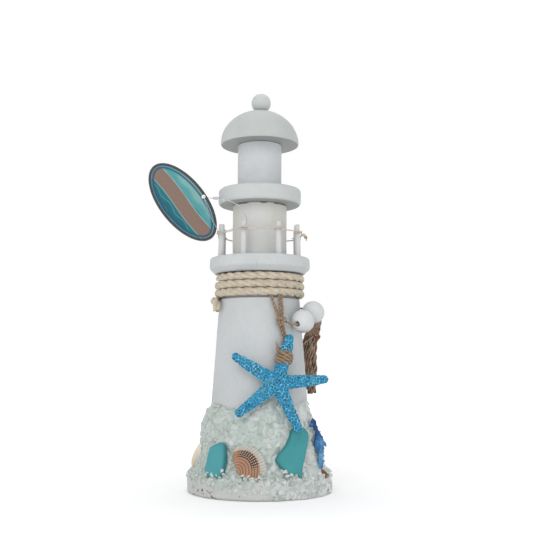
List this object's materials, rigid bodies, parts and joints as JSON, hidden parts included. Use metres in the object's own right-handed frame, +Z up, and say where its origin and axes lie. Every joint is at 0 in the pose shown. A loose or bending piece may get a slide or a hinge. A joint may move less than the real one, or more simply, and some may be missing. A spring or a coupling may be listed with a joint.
{
  "type": "lighthouse souvenir figurine",
  "caption": "Turned wooden lighthouse ornament on a round base, wrapped in rope, with a hanging starfish, beads, a tassel, shells set in crushed glass and an oval tag.",
  "frame": {"origin": "centre of the flat underside of the plinth", "axes": "+Z up along the tower, -Y towards the front that shows the starfish, +X to the right of someone facing that front"},
  "size_m": [0.1227, 0.0956, 0.268],
  "materials": {
    "white_paint": "matt white emulsion over turned wood, worn at the edges",
    "bare_wood": "plain beech dowel",
    "bead_paint": "smooth white lacquer",
    "cotton_twine": "thin cotton twine",
    "rope": "three-strand natural rope",
    "jute": "hairy jute string",
    "dark_jute": "dark brown jute strands",
    "crushed_glass": "frosted crushed glass set in clear glue",
    "sea_glass": "frosted aqua sea glass",
    "brown_shell": "ribbed brown cockle shell",
    "cream_shell": "ribbed cream shell",
    "starfish_resin": "blue cast resin with pale raised net",
    "seahorse_resin": "blue cast resin, dry-brushed paler",
    "bark": "rough brown twig",
    "printed_card": "satin printed card",
    "nylon": "white nylon thread"
  },
  "bodies": {
    "lighthouse": {"plinth": "white_paint", "tower": "white_paint", "gallery_deck": "white_paint", "lower_lantern": "white_paint", "collar": "white_paint", "upper_lantern": "white_paint", "dome_roof": "white_paint", "finial": "white_paint", "finial_dowel": "bare_wood", "base_dowel": "bare_wood", "neck_dowel": "bare_wood", "lantern_dowel": "bare_wood", "dome_dowel": "bare_wood", "rail_post_1": "white_paint", "rail_post_2": "white_paint", "rail_post_3": "white_paint", "rail_post_4": "white_paint", "rail_post_5": "white_paint", "rail_post_6": "white_paint", "rail_post_7": "white_paint", "rail_post_8": "white_paint", "rail_twine": "cotton_twine", "rail_twine_knot": "cotton_twine", "rope_wrap": "rope", "sea_glass_left": "sea_glass", "sea_glass_right": "sea_glass", "brown_shell": "brown_shell", "cream_shell": "cream_shell", "seahorse": "seahorse_resin", "driftwood_twig": "bark", "gravel_bank": "crushed_glass", "gravel_rim": "crushed_glass", "hanger_cord_left": "jute", "hanger_cord_right": "jute", "hanger_knot": "jute", "garland_string": "jute", "tag_loop": "nylon", "tag_lock": "nylon"},
    "pendant": {"pendant_cord": "jute"},
    "hanging_starfish": {"starfish_lashing": "jute", "starfish": "starfish_resin"},
    "front_bead": {"bead_front": "bead_paint"},
    "rear_bead": {"bead_rear": "bead_paint"},
    "tassel": {"tassel_skirt": "dark_jute", "tassel_binding": "dark_jute", "tassel_loop": "dark_jute"},
    "tag": {"tag_card": "printed_card"}
  },
  "joints": [
    {"name": "starfish_lift", "type": "hinge", "parent": "lighthouse", "child": "pendant", "pos_m": [0.01375, -0.0278, 0.1099], "axis": [-0.9848, -0.1736, 0], "range_deg": [0, 60]},
    {"name": "starfish_sway", "type": "hinge", "parent": "pendant", "child": "hanging_starfish", "pos_m": [0.01375, -0.0278, 0.1099], "axis": [0.1736, -0.9848, 0], "range_deg": [-6, 14]},
    {"name": "front_bead_spin", "type": "hinge", "parent": "lighthouse", "child": "front_bead", "pos_m": [0.0279, -0.0226, 0.1098], "axis": [0.5486, 0.788, 0.2793], "continuous": true},
    {"name": "rear_bead_spin", "type": "hinge", "parent": "lighthouse", "child": "rear_bead", "pos_m": [0.0353, -0.0108, 0.1162], "axis": [0.3983, 0.8564, 0.3286], "continuous": true},
    {"name": "tassel_swing", "type": "hinge", "parent": "lighthouse", "child": "tassel", "pos_m": [0.037, 0.011, 0.1194], "axis": [0.416, -0.9094, 0], "range_deg": [0, 60]},
    {"name": "tag_turn", "type": "hinge", "parent": "lighthouse", "child": "tag", "pos_m": [-0.0373, -0.0146, 0.1929], "axis": [0, 1, 0], "range_deg": [0, 60]}
  ]
}
